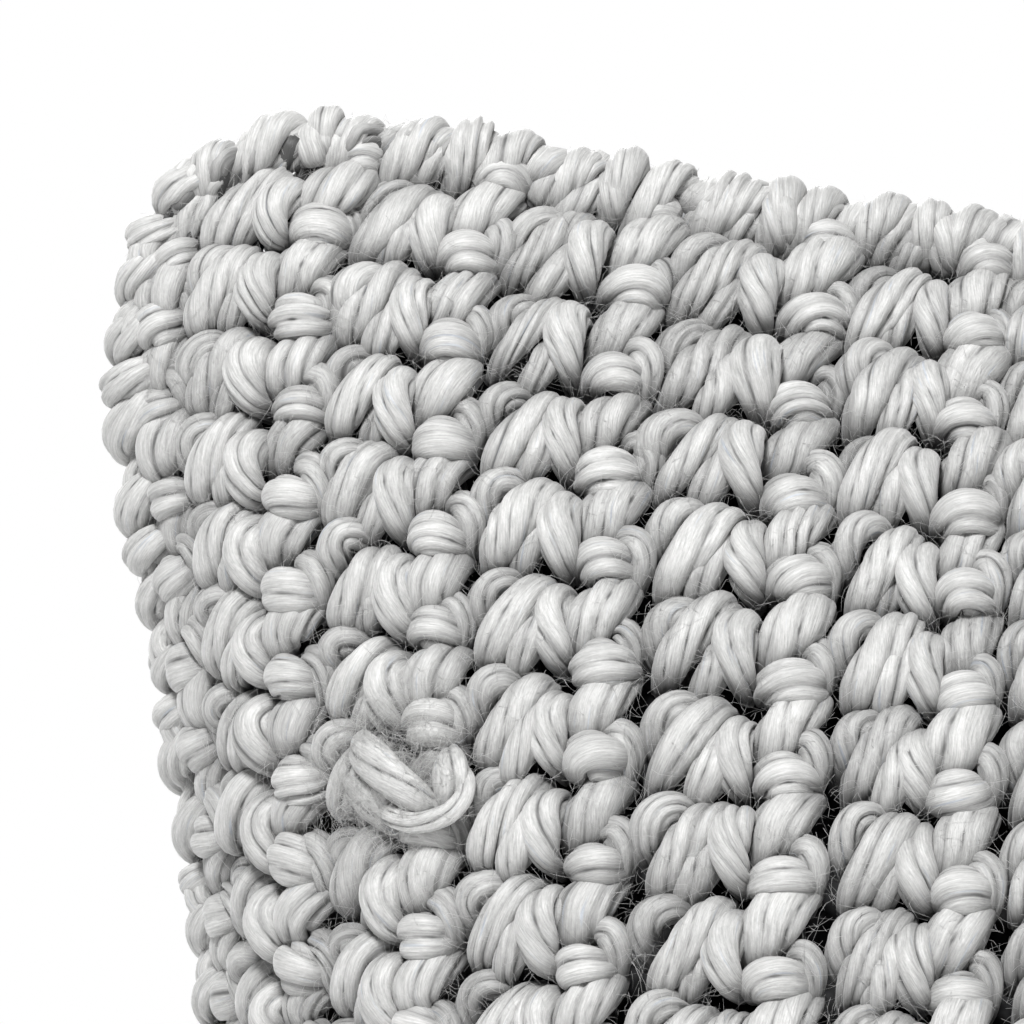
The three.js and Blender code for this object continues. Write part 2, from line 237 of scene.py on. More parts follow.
class Side:
    """One side of the cover: it turns places in the crochet (s, t, h) into points.

    The net runs on round the rim by MARGIN lines, on to the other side, so that strands can wrap over it.
    """

    def __init__(self, side):
        self.side = side
        self.columns = PAIRS * 2 * NET
        self.rows = STITCHES * NET
        a, b = even_net(self.columns, self.rows)
        points = skin(a, b, -1)[::-1]
        points = around_rim(around_rim(points).transpose(1, 0, 2)).transpose(1, 0, 2)
        points = rounded_rim(points)
        across = np.gradient(points, axis=1)
        down = np.gradient(points, axis=0)
        normals = softened(unit(np.cross(down, across)), RIM_REACH)
        turn = np.array([1.0, 1.0, 1.0]) if side < 0 else np.array([-1.0, -1.0, 1.0])
        self.points = points * turn
        self.normals = unit(normals) * turn
        self.zip_line = self.stitches_down_to(ZIP_Z)

    def stitches_down_to(self, z):
        """For each column of the net, how many stitches down it reaches a height."""
        inner = self.points[MARGIN:-MARGIN, :, 2]
        down = np.arange(inner.shape[0]) / NET
        return np.array([np.interp(-z, -inner[:, i], down) for i in range(inner.shape[1])])

    def column(self, s):
        return np.clip((s - FIRST_PAIR) * 2 * NET + MARGIN, 0, self.columns + 2 * MARGIN - 0.01)

    def zip_stitch(self, s):
        """How many stitches down the zip is at s pairs from the left."""
        return np.interp(self.column(s), np.arange(len(self.zip_line)), self.zip_line)

    def place(self, s, t, h):
        """s in pairs of rows from the left as seen, t in stitches down from the top, h in mm out.

        Nothing goes far past the middle plane: near the thin rims, deep strands stay on their own side.
        """
        i = self.column(s)
        j = np.clip(t * NET + MARGIN, 0, self.rows + 2 * MARGIN - 0.01)
        points = between(self.points, i, j)
        normals = unit(between(self.normals, i, j))
        deepest = -THIN_SHARE * abs(points[..., 1]) - THIN_ROOM
        return points + normals * np.maximum(h, deepest)[..., None], normals

    def find(self, x, z):
        """The place (s, t) that lies at x and z, found by following the net."""
        s = np.full_like(x, FIRST_PAIR + PAIRS / 2)
        t = np.full_like(x, STITCHES / 2)
        for _ in range(FIND_TURNS):
            here = self.place(s, t, np.zeros_like(x))[0]
            by_s = (self.place(s + FIND_STEP, t, np.zeros_like(x))[0] - here) / FIND_STEP
            by_t = (self.place(s, t + FIND_STEP, np.zeros_like(x))[0] - here) / FIND_STEP
            dx = x - here[..., 0]
            dz = z - here[..., 2]
            area = by_s[..., 0] * by_t[..., 2] - by_s[..., 2] * by_t[..., 0]
            s = s + FIND_SHARE * (dx * by_t[..., 2] - dz * by_t[..., 0]) / area
            t = t + FIND_SHARE * (by_s[..., 0] * dz - by_s[..., 2] * dx) / area
        return s, t


# Strands of yarn ---
# Each strand of a pair of stitches: points (s, t, height), and the half width and half thickness in mm
STRANDS = {
    "leg": {
        "points": [(0.46, 0.08, -7.0), (0.40, 0.18, -3.4), (0.31, 0.36, -2.3), (0.21, 0.60, -2.3),
                   (0.12, 0.84, -3.4), (0.06, 1.02, -7.0)],
        "wide": (2.0, 3.1, 3.5, 3.4, 2.8, 1.6), "thick": (2.0, 2.7, 3.0, 3.0, 2.7, 1.6),
    },
    "second_leg": {
        "points": [(0.50, 0.26, -7.5), (0.455, 0.40, -3.8), (0.40, 0.58, -3.0), (0.34, 0.78, -3.0),
                   (0.28, 0.96, -4.2), (0.24, 1.10, -7.5)],
        "wide": (1.6, 2.4, 2.8, 2.8, 2.3, 1.4), "thick": (1.6, 2.4, 2.7, 2.7, 2.3, 1.4),
    },
    "curl": {
        "points": [(0.30, 0.18, -7.0), (0.21, 0.14, -3.6), (0.11, 0.21, -3.0), (0.045, 0.36, -3.5),
                   (0.02, 0.54, -4.8), (0.03, 0.68, -7.5)],
        "wide": (1.6, 2.3, 2.6, 2.6, 2.2, 1.4), "thick": (1.6, 2.2, 2.5, 2.5, 2.1, 1.4),
    },
    "leaf": {
        "points": [(0.60, 0.20, -7.5), (0.545, 0.29, -3.2), (0.505, 0.46, -1.3), (0.505, 0.66, -1.1),
                   (0.535, 0.83, -2.4), (0.57, 0.93, -7.5)],
        "wide": (1.8, 3.0, 3.4, 3.3, 2.6, 1.3), "thick": (1.8, 2.7, 3.3, 3.3, 2.5, 1.4),
    },
    "fan": {
        "points": [(0.64, 0.66, -7.5), (0.70, 0.50, -3.8), (0.77, 0.30, -2.6), (0.86, 0.12, -2.8),
                   (0.94, -0.03, -4.6), (0.98, -0.12, -8.0)],
        "wide": (2.4, 3.6, 4.2, 4.0, 3.0, 1.6), "thick": (2.2, 2.7, 3.0, 2.9, 2.4, 1.6),
    },
    "oval": {
        "points": [(0.665, 0.84, -7.5), (0.70, 0.84, -3.8), (0.765, 0.83, -1.9), (0.85, 0.83, -1.9),
                   (0.915, 0.84, -3.8), (0.95, 0.84, -7.5)],
        "wide": (2.2, 3.3, 3.9, 3.8, 3.1, 1.6), "thick": (2.2, 2.9, 3.3, 3.2, 2.6, 1.6),
    },
    "hook": {
        "points": [(0.84, 0.54, -7.5), (0.90, 0.46, -4.0), (0.965, 0.50, -3.4), (0.995, 0.67, -3.6),
                   (0.97, 0.86, -5.0), (0.93, 1.00, -8.0)],
        "wide": (1.6, 2.3, 2.6, 2.5, 2.0, 1.4), "thick": (1.6, 2.3, 2.5, 2.4, 2.0, 1.4),
    },
    "under_left": {
        "points": [(0.24, -0.05, -9.4), (0.30, 0.30, -8.8), (0.24, 0.70, -8.8), (0.28, 1.05, -9.4)],
        "wide": (2.8, 3.4, 3.4, 2.8), "thick": (1.6, 2.2, 2.2, 1.6),
    },
    "under_right": {
        "points": [(0.78, -0.05, -9.4), (0.81, 0.30, -8.8), (0.77, 0.70, -8.8), (0.79, 1.05, -9.4)],
        "wide": (2.8, 3.4, 3.4, 2.8), "thick": (1.6, 2.2, 2.2, 1.6),
    },
}
ROW_KINDS = (("leg", "curl", "second_leg", "leaf", "under_left"), ("fan", "oval", "hook", "under_right"))
UNDER = ("under_left", "under_right")
UNDER_SIDES = 10

# Turns of the joining yarn over the rim: points (stitches along, stitches in from the rim, height), the half
# width and half thickness in mm, and where the turn lies along a pair of rows
CAPS = (
    {
        "along": 0.48,
        "points": [(-0.36, 0.80, -5.5), (-0.24, 0.50, -1.6), (-0.10, 0.20, 0.2), (0.02, -0.02, 0.3),
                   (0.14, -0.24, -0.4), (0.26, -0.52, -2.4), (0.32, -0.75, -6.0)],
        "wide": (2.0, 3.0, 3.5, 3.6, 3.4, 2.8, 1.8), "thick": (1.8, 2.6, 2.9, 3.0, 2.8, 2.4, 1.6),
    },
    {
        "along": 1.06,
        "points": [(-0.05, 0.76, -5.5), (-0.05, 0.46, -1.2), (-0.02, 0.20, 0.8), (0.02, -0.02, 0.8),
                   (0.06, -0.24, -0.1), (0.10, -0.52, -2.4), (0.12, -0.75, -6.0)],
        "wide": (1.8, 2.8, 3.1, 3.2, 2.9, 2.4, 1.6), "thick": (1.6, 2.6, 2.9, 3.0, 2.8, 2.4, 1.6),
    },
    {
        "along": 1.62,
        "points": [(-0.32, 0.76, -5.5), (-0.20, 0.48, -1.6), (-0.08, 0.20, 0.2), (0.04, -0.02, 0.3),
                   (0.16, -0.24, -0.4), (0.27, -0.52, -2.4), (0.33, -0.75, -6.0)],
        "wide": (2.0, 3.0, 3.4, 3.5, 3.2, 2.6, 1.8), "thick": (1.8, 2.6, 2.8, 2.9, 2.7, 2.3, 1.6),
    },
)
PAIR_STITCHES = 2  # a pair of rows is two stitches wide, near enough, along a top or bottom rim

# How strands differ: normal spreads of (pairs, stitches, mm), and a share of the width
PLACE_SPREAD = (0.013, 0.030, 0.45)
BEND_SPREAD = (0.014, 0.028, 0.4)
SIZE_SPREAD = 0.07
CAP_SPREAD = {"along": 0.12, "start": 0.05, "inwards": 0.10, "height": 0.4}

# The yarn's section: soft plies of uneven width, with creases between them
PLIES = (4, 7)  # from, and up to but not with
TWIST = 0.16  # radians a millimetre
TWIST_SPREAD = 0.35
CREASE = 0.42  # share of the radius that a crease is deep
CREASE_SPREAD = 0.38
CREASE_SHARPNESS = 0.55
PLY_WANDER = ((0.32, 1, 0.10), (0.16, 2, -0.16))  # radians, waves round the yarn, radians a millimetre
SWELL = (0.05, 0.5)  # share of the radius, radians a millimetre
FIBRE_SHIFT = 400.0  # mm; each strand takes its fibres from another place in the noise

# How the front's stitches differ from an even net, as they are drawn over the fullest part
GATHER = 0.11  # how much the rows of a pair draw together
GATHER_PAIRS = 3.0  # pairs from the left, and stitches from the top, over which that grows
GATHER_STITCHES = 7.0
ROW_DRIFT = (0.0, 0.0, 0.0, -0.06, -0.02, 0.11, 0.07, 0.0)  # each pair's start, in pairs off the even place
STRETCH = 0.13  # how much taller the front's top stitches are
STRETCH_PAIRS = 3.0  # pairs of rows over which that grows from a side rim


def smooth_path(points, count):
    """Catmull-Rom through the points, at even steps of the parameter."""
    points = np.asarray(points, float)
    padded = np.concatenate([[2 * points[0] - points[1]], points, [2 * points[-1] - points[-2]]])
    where = np.linspace(0, len(points) - 1, count)
    k = np.minimum(where.astype(int), len(points) - 2)
    f = (where - k)[:, None]
    p0, p1, p2, p3 = (padded[k + n] for n in range(4))
    return 0.5 * (2 * p1 + (p2 - p0) * f + (2 * p0 - 5 * p1 + 4 * p2 - p3) * f ** 2
                  + (3 * p1 - p0 - 3 * p2 + p3) * f ** 3)


def smooth_strand(recipe, count):
    """A strand's path, half width and half thickness, at even steps."""
    wide, thick = (smooth_path(np.array(recipe[key])[:, None], count)[:, 0] for key in ("wide", "thick"))
    return smooth_path(recipe["points"], count), wide, thick


def ply_radius(phi, length, rng, plies):
    """The section's radius as a share, and how far each place is out of the creases between the plies, which
    the yarn material turns into painted shade in the creases.

    The plies are round lobes that differ, and wander along the yarn.
    """
    start = rng.uniform(0, 2 * math.pi, (5, len(length), 1, 1))
    warped = phi
    for (reach, waves, rate), phase in zip(PLY_WANDER, start):
        warped = warped + reach * np.sin(waves * phi + phase + rate * length)
    lobe = abs(np.sin(plies / 2 * warped + start[2])) ** CREASE_SHARPNESS
    depth = CREASE * (1 - CREASE_SPREAD + CREASE_SPREAD * np.sin(warped + start[3]))
    swell = 1 + SWELL[0] * np.sin(SWELL[1] * length + start[4])
    return swell * (1 - depth * (1 - lobe)), lobe


class Yarn:
    """Collects swept strands, and turns them into one mesh."""

    def __init__(self):
        self.points = []
        self.fibres = []
        self.shades_and_tones = []
        self.quads = []
        self.caps = []
        self.count = 0

    def sweep(self, path, up, height, wide, thick, sides, rng, plies=PLIES, twist=TWIST):
        """Adds n strands of m places: path and up (n, m, 3); height, half width and half thickness (n, m).

        Each place keeps its coordinates in the yarn as "fibre", and in a second vector how far it is out of
        the creases, its height above the skin, and its strand's tone. The first two are for painted shade:
        creases and deep places darken.
        """
        n, m = wide.shape
        along = unit(np.gradient(path, axis=1))
        steps = np.linalg.norm(np.diff(path, axis=1), axis=2)
        length = np.concatenate([np.zeros((n, 1)), np.cumsum(steps, axis=1)], axis=1)[..., None]
        across = unit(np.cross(up, along))
        out = np.cross(along, across)
        phi = 2 * math.pi * np.arange(sides) / sides
        turns = twist * (1 + rng.normal(0, TWIST_SPREAD, (n, 1, 1))) * length
        theta = phi + rng.uniform(0, 2 * math.pi, (n, 1, 1)) - turns
        count = rng.randint(*plies, (n, 1, 1)) if plies else 0
        radius, lobe = ply_radius(phi, length, rng, count) if plies else np.ones((2, n, m, sides))
        x = (wide[..., None] * np.cos(theta) * radius)[..., None]
        y = (thick[..., None] * np.sin(theta) * radius)[..., None]
        ring = path[:, :, None] + across[:, :, None] * x + out[:, :, None] * y
        shift = rng.uniform(0, FIBRE_SHIFT, (n, 1, 1))
        size = wide.mean()
        fibre = np.stack(np.broadcast_arrays(
            length + shift, size * np.cos(phi) + shift, size * np.sin(phi)), -1)
        base = self.count + np.arange(n)[:, None, None] * m * sides
        ringed = base + np.arange(m)[None, :, None] * sides + np.arange(sides)
        following = base + np.arange(m)[None, :, None] * sides + (np.arange(sides) + 1) % sides
        quads = np.stack([ringed[:, :-1], following[:, :-1], following[:, 1:], ringed[:, 1:]], -1)
        self.points.append(ring.reshape(-1, 3))
        self.fibres.append(fibre.reshape(-1, 3))
        # How high each point lies above the skin, kept for the painted shade of recesses.
        shade_level = height[..., None] + np.einsum("nmki,nmi->nmk", ring - path[:, :, None], up)
        tone = rng.uniform(0, 1, (n, 1, 1))
        self.shades_and_tones.append(np.stack(np.broadcast_arrays(lobe, shade_level, tone), -1).reshape(-1, 3))
        self.quads.append(quads.reshape(-1, 4))
        self.caps += [list(row[::-1]) for row in ringed[:, 0]] + [list(row) for row in ringed[:, -1]]
        self.count += n * m * sides

    def mesh(self, name, material, clear=above_floor):
        points = clear(np.concatenate(self.points)) * MM
        quads = np.concatenate(self.quads)
        sizes = np.concatenate([np.full(len(quads), 4), [len(cap) for cap in self.caps]])
        loops = np.concatenate([quads.ravel()] + [np.array(cap) for cap in self.caps])
        mesh = bpy.data.meshes.new(name)
        mesh.vertices.add(len(points))
        mesh.vertices.foreach_set("co", points.ravel())
        mesh.loops.add(len(loops))
        mesh.loops.foreach_set("vertex_index", loops.astype(np.int32))
        mesh.polygons.add(len(sizes))
        starts = np.concatenate([[0], np.cumsum(sizes)[:-1]])
        mesh.polygons.foreach_set("loop_start", starts.astype(np.int32))
        mesh.polygons.foreach_set("loop_total", sizes.astype(np.int32))
        mesh.update(calc_edges=True)
        mesh.shade_smooth()
        for attribute_name, values in (("fibre", self.fibres), ("relief", self.shades_and_tones)):
            layer = mesh.attributes.new(attribute_name, "FLOAT_VECTOR", "POINT")
            layer.data.foreach_set("vector", np.concatenate(values).ravel())
        return add_piece(mesh.name, mesh, material)


def add_piece(name, mesh, material):
    mesh.materials.append(material)
    piece = bpy.data.objects.new(name, mesh)
    bpy.context.scene.collection.objects.link(piece)
    return piece


def drifted(s):
    """Moves places with the pairs of rows, which aren't quite even."""
    return s + np.interp(s, np.arange(len(ROW_DRIFT)), ROW_DRIFT)


def eased(share):
    """A soft start and end to a share that grows from 0 to 1."""
    return share * share * (3 - 2 * share)


def gathered(s_in_pair, cells):
    """Where the cover is stretched over the fullest part, the rows of a pair draw together."""
    stretch = np.clip(cells[:, 1:2] / GATHER_STITCHES, 0, 1) * np.clip(cells[:, 0:1] / GATHER_PAIRS, 0, 1)
    return 0.5 + (s_in_pair - 0.5) * (1 - GATHER * stretch)


def strand_batch(yarn, side, recipe, cells, fit, rng, steps, sides):
    """One kind of strand in each of the cells (pair, stitch); fit turns stitches worked into net rows."""
    path, wide, thick = smooth_strand(recipe, steps)
    n = len(cells)
    jitter = rng.normal(0, 1, (n, 1, 3)) * np.array(PLACE_SPREAD)
    bend = rng.normal(0, 1, (n, 1, 3)) * np.array(BEND_SPREAD)
    wave = np.sin(np.linspace(0, math.pi, steps))[None, :, None]
    places = path[None] + jitter + bend * wave
    s = drifted(gathered(places[..., 0], cells) + cells[:, 0:1])
    t = fit(s, places[..., 1] + cells[:, 1:2])
    points, normals = side.place(s, t, places[..., 2])
    scale = 1 + rng.normal(0, SIZE_SPREAD, (n, 1))
    yarn.sweep(points, normals, places[..., 2], wide[None] * scale, thick[None] * scale, sides, rng)


# Materials ---
DARKEST_SHADE_LEVEL = -9.0  # mm from the skin, where the painted shade of the recesses is darkest, and where it ends
UNSHADED_LEVEL = 1.0
WAVE_SCALE = 0.314 / (2 * math.pi)  # the wave texture's scale for a radian of wave a metre


def new_material(name, colour, roughness):
    material = bpy.data.materials.new(name)
    material.use_nodes = True
    shader = material.node_tree.nodes["Principled BSDF"]
    shader.inputs["Base Color"].default_value = (*colour, 1)
    shader.inputs["Roughness"].default_value = roughness
    return material, material.node_tree, shader


def scaled(tree, source, scale):
    """A vector output multiplied by a scale."""
    node = tree.nodes.new("ShaderNodeVectorMath")
    node.operation = "MULTIPLY"
    node.inputs[1].default_value = scale
    tree.links.new(source, node.inputs[0])
    return node.outputs[0]


def noise(tree, vector, scale, detail=3.0, roughness=0.6):
    node = tree.nodes.new("ShaderNodeTexNoise")
    node.inputs["Scale"].default_value = scale
    node.inputs["Detail"].default_value = detail
    node.inputs["Roughness"].default_value = roughness
    tree.links.new(vector, node.inputs["Vector"])
    return node.outputs["Fac"]


def ramp(tree, value, *stops):
    """A colour ramp; stops are (position, colour)."""
    node = tree.nodes.new("ShaderNodeValToRGB")
    elements = node.color_ramp.elements
    while len(elements) < len(stops):
        elements.new(1.0)
    for element, (position, colour) in zip(elements, stops):
        element.position = position
        element.color = (*colour, 1)
    tree.links.new(value, node.inputs["Fac"])
    return node.outputs["Color"]


def grey(value):
    return (value, value, value)


def mixed(tree, kind, factor, first, second):
    node = tree.nodes.new("ShaderNodeMix")
    node.data_type = "RGBA"
    node.blend_type = kind
    node.inputs["Factor"].default_value = factor
    tree.links.new(first, node.inputs[6])
    tree.links.new(second, node.inputs[7])
    return node.outputs[2]


def bumped(tree, shader, height, strength, distance):
    node = tree.nodes.new("ShaderNodeBump")
    node.inputs["Strength"].default_value = strength
    node.inputs["Distance"].default_value = distance * MM
    tree.links.new(height, node.inputs["Height"])
    tree.links.new(node.outputs["Normal"], shader.inputs["Normal"])


def yarn_material():
    """Grey roving: long fine fibres that catch the light, uneven in tone, with a few bluish ones.

    Painted shade: the colour is darker in the creases between the plies and in the recesses between the
    strands, where little light gets in.
    """
    material, tree, shader = new_material("yarn_grey", (0.5, 0.5, 0.49), 0.55)
    shader.inputs["Sheen Weight"].default_value = 0.35
    shader.inputs["Sheen Roughness"].default_value = 0.5
    shader.inputs["Specular IOR Level"].default_value = 0.6
    along = attribute(tree, "fibre")
    relief = tree.nodes.new("ShaderNodeSeparateXYZ")
    tree.links.new(attribute(tree, "relief"), relief.inputs[0])
    shade_level = tree.nodes.new("ShaderNodeMapRange")
    shade_level.inputs["From Min"].default_value = DARKEST_SHADE_LEVEL
    shade_level.inputs["From Max"].default_value = UNSHADED_LEVEL
    tree.links.new(relief.outputs["Y"], shade_level.inputs["Value"])
    fine = noise(tree, scaled(tree, along, (0.5, 4.2, 4.2)), 1.0, 3.0, 0.6)
    broad = noise(tree, scaled(tree, along, (0.16, 0.7, 0.7)), 1.0, 3.0, 0.5)
    tint = noise(tree, scaled(tree, along, (0.16, 1.6, 1.6)), 1.0, 1.0, 0.5)
    # Lighter patches over the fibres: partly random tone, partly painted broken highlights.
    fuzz_and_painted_highlights = noise(tree, scaled(tree, along, (2.0, 3.0, 3.0)), 1.0, 5.0, 0.75)
    dark, middle, light = (0.39, 0.389, 0.383), (0.535, 0.534, 0.526), (0.66, 0.658, 0.648)
    colour = ramp(tree, fuzz_and_painted_highlights, (0.36, grey(0.84)), (0.62, grey(1.0)))
    for layer in (
        ramp(tree, fine, (0.30, dark), (0.52, middle), (0.72, light)),
        ramp(tree, broad, (0.34, grey(0.84)), (0.66, grey(1.0))),
        ramp(tree, tint, (0.68, grey(1.0)), (0.78, (0.84, 0.90, 1.0))),
        # Painted shade: the colour is darker in the creases between the plies.
        ramp(tree, relief.outputs["X"], (0.14, grey(0.20)), (0.42, grey(0.84)), (0.8, grey(1.0))),
        # Painted shade: yarn lying deeper below the skin is darker, near black at the bottom of the pits.
        ramp(tree, shade_level.outputs["Result"], (0.0, grey(0.02)), (0.35, grey(0.12)), (0.62, grey(0.52)),
             (0.95, grey(1.0))),
        ramp(tree, relief.outputs["Z"], (0.0, grey(0.90)), (1.0, grey(1.0))),
    ):
        colour = mixed(tree, "MULTIPLY", 1.0, colour, layer)
    tree.links.new(colour, shader.inputs["Base Color"])
    bumped(tree, shader, fine, 0.5, 0.3)
    return material


def attribute(tree, name):
    """The vector that each vertex keeps under a name."""
    node = tree.nodes.new("ShaderNodeAttribute")
    node.attribute_name = name
    return node.outputs["Vector"]


def woven_material(name, dark, light, weave_rate, roughness):
    """Plain weave: two crossed bands of threads, of weave_rate radians a millimetre, with slubs."""
    material, tree, shader = new_material(name, light, roughness)
    where = tree.nodes.new("ShaderNodeTexCoord").outputs["Object"]
    heights = []
    for direction in ("X", "Z"):
        wave = tree.nodes.new("ShaderNodeTexWave")
        wave.bands_direction = direction
        wave.inputs["Scale"].default_value = weave_rate / MM * WAVE_SCALE
        wave.inputs["Distortion"].default_value = 0.6
        wave.inputs["Detail"].default_value = 1.0
        tree.links.new(where, wave.inputs["Vector"])
        heights.append(wave.outputs["Color"])
    weave = mixed(tree, "MULTIPLY", 1.0, *heights)
    slubs = noise(tree, where, 90.0, 3.0)
    colour = mixed(tree, "OVERLAY", 0.5, ramp(tree, weave, (0.05, dark), (0.6, light)),
                   ramp(tree, slubs, (0.3, grey(0.42)), (0.7, grey(0.58))))
    tree.links.new(colour, shader.inputs["Base Color"])
    bumped(tree, shader, weave, 0.5, 0.15)
    return material


def fill_material():
    """White fibrefill, in soft wisps."""
    material, tree, shader = new_material("fibrefill", (0.9, 0.9, 0.88), 0.95)
    where = tree.nodes.new("ShaderNodeTexCoord").outputs["Object"]
    wisps = noise(tree, scaled(tree, where, (160.0, 60.0, 120.0)), 1.0, 6.0, 0.7)
    tree.links.new(ramp(tree, wisps, (0.3, (0.72, 0.72, 0.70)), (0.65, (0.93, 0.93, 0.91))),
                   shader.inputs["Base Color"])
    bumped(tree, shader, wisps, 0.8, 1.5)
    return material


def hard_material(name, colour, roughness, metal, wear):
    """Cast metal or moulded plastic: faint mottling, with fine scratches in the finish."""
    material, tree, shader = new_material(name, colour, roughness)
    shader.inputs["Metallic"].default_value = metal
    where = tree.nodes.new("ShaderNodeTexCoord").outputs["Object"]
    mottle = noise(tree, where, 420.0, 4.0)
    scratches = noise(tree, scaled(tree, where, (2600.0, 500.0, 300.0)), 1.0, 3.0)
    low = tuple(c * (1 - wear) for c in colour)
    high = tuple(min(1.0, c * (1 + wear)) for c in colour)
    tree.links.new(ramp(tree, mottle, (0.35, low), (0.65, high)), shader.inputs["Base Color"])
    rough = ramp(tree, scratches, (0.35, grey(roughness * 0.75)), (0.7, grey(min(1.0, roughness * 1.3))))
    tree.links.new(rough, shader.inputs["Roughness"])
    bumped(tree, shader, scratches, 0.15, 0.03)
    return material


# The crocheted panels ---
RIM_OVERLAP = 0.3  # stitches by which the crochet runs past a rim, under the joining yarn
LEFT_SPARE = 0.15  # pairs by which a strand's middle may be past a side rim
RIGHT_SPARE = 0.1


def resolution(fine, kind=None):
    """Steps along a strand, and sides round it."""
    if kind in UNDER:
        return PLAIN[0], UNDER_SIDES
    return FINE if fine else PLAIN


def crochet_row(side, row, stitches, fit, rng, fine_stitches=0):
    """The yarn of one row, which runs up a panel: half of a pair, on one side of the cover."""
    pair, half = divmod(row, 2)
    yarn = Yarn()
    for fine, worked in ((True, stitches[:fine_stitches]), (False, stitches[fine_stitches:])):
        cells = np.stack([np.full(len(worked), pair), worked], 1).astype(float)
        for kind in ROW_KINDS[half]:
            middle = np.mean(STRANDS[kind]["points"], axis=0)[0] + pair
            if len(worked) and FIRST_PAIR - LEFT_SPARE < middle < FIRST_PAIR + PAIRS + RIGHT_SPARE:
                strand_batch(yarn, side, STRANDS[kind], cells, fit, rng, *resolution(fine, kind))
    return yarn


def make_panel(name, side, count, fit, clear, node, material, fine_rows=0):
    """A panel worked in rows of count stitches, one piece for each row."""
    rng = np.random.RandomState(SEED + count)
    stitches = np.arange(count)
    for row in range(2 * PAIRS + 1):
        fine_stitches = FINE_STITCHES if row < fine_rows else 0
        yarn = crochet_row(side, row, stitches, fit, rng, fine_stitches)
        if yarn.count:
            piece = yarn.mesh(f"{name}_row_{row + 1:02d}", material, clear)
            finish_piece(piece, "yarn", node)


def finish_piece(piece, slot, *nodes, body="cover"):
    """Declares what a piece rides on, and the CAD nodes that it replaces. The material slot is not used."""
    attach(piece, body)
    if nodes:
        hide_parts(*nodes)


def make_panels(front, back, material):
    """The front and the two parts of the back; each fits its stitches between its own edges."""
    def fit_front(s, t):
        even = t * (STITCHES + 2 * RIM_OVERLAP) / (STITCHES + 1) - RIM_OVERLAP
        off_rim = np.clip(np.minimum(s - FIRST_PAIR, FIRST_PAIR + PAIRS - s) / STRETCH_PAIRS, 0, 1)
        return even + STRETCH * eased(off_rim) * STITCHES / math.pi * np.sin(math.pi * even / STITCHES)

    gap = SLIT * STITCHES / (2 * MIDDLE_Z)
    upper = int(round(back.zip_line.mean()))
    lower = STITCHES - upper

    def fit_upper(s, t):
        return t * (back.zip_stitch(s) - gap + RIM_OVERLAP) / upper - RIM_OVERLAP

    def fit_lower(s, t):
        start = back.zip_stitch(s) + gap
        return start + t * (STITCHES + RIM_OVERLAP - start) / lower

    make_panel("front", front, STITCHES + 1, fit_front, above_floor, "front_panel", material,
               2 * FINE_PAIRS - 1)
    make_panel("back_upper", back, upper, fit_upper, above_slit, "back_upper_panel", material)
    make_panel("back_lower", back, lower, fit_lower, below_slit, "back_lower_panel", material)


# The joining yarn ---
def cap_run(yarn, side, to_place, cap, alongs, rng, fine):
    """Turns of joining yarn at the distances along; to_place gives (s, t) from (along, in from the rim)."""
    if not len(alongs):
        return
    steps, sides = resolution(fine)
    path, wide, thick = smooth_strand(cap, steps)
    column = (len(alongs), 1)
    along = path[None, :, 0] * (1 + rng.normal(0, CAP_SPREAD["along"], column)) + alongs[:, None]
    along = along + rng.normal(0, CAP_SPREAD["start"], column)
    inwards = path[None, :, 1] * (1 + rng.normal(0, CAP_SPREAD["inwards"], column))
    height = path[None, :, 2] + rng.normal(0, CAP_SPREAD["height"], column)
    s, t = to_place(along, inwards)
    points, normals = side.place(s, t, height)
    scale = 1 + rng.normal(0, SIZE_SPREAD, column)
    yarn.sweep(points, normals, height, wide[None] * scale, thick[None] * scale, sides, rng)


def make_seams(front, material):
    """Joining yarn over each rim, in groups of turns that follow the pairs of rows."""
    last = FIRST_PAIR + PAIRS
    runs = {
        "top": (lambda along, inwards: (along / PAIR_STITCHES, inwards), PAIRS + 1, FINE_PAIRS),
        "bottom": (lambda along, inwards: (along / PAIR_STITCHES, STITCHES - inwards), PAIRS + 1, 0),
        "left": (lambda along, inwards: (FIRST_PAIR + inwards / PAIR_STITCHES, along), STITCHES / 2,
                 FINE_STITCHES / 2),
        "right": (lambda along, inwards: (last - inwards / PAIR_STITCHES, STITCHES - along), STITCHES / 2, 0),
    }
    for name, (to_place, groups, fine_groups) in runs.items():
        rng = np.random.RandomState(SEED + len(name))
        yarn = Yarn()
        for cap in CAPS:
            group = np.arange(groups)
            alongs = PAIR_STITCHES * group + cap["along"]
            first = PAIR_STITCHES * FIRST_PAIR if name in ("top", "bottom") else 0
            inside = (alongs > first) & (alongs < first + (2 * PAIRS if first else STITCHES))
            for fine in (True, False):
                chosen = alongs[inside & ((group < fine_groups) == fine)]
                cap_run(yarn, front, to_place, cap, chosen, rng, fine)
        finish_piece(yarn.mesh(f"joining_yarn_{name}", material), "yarn", f"seam_yarn_{name}")


ZIP_END_PITCH = 4.2  # mm
ZIP_END_SPARE = 3  # turns past the last one that the slit needs
ZIP_END_LEAN = 0.10  # pairs of rows to a stitch
ZIP_END_REACH = 0.8


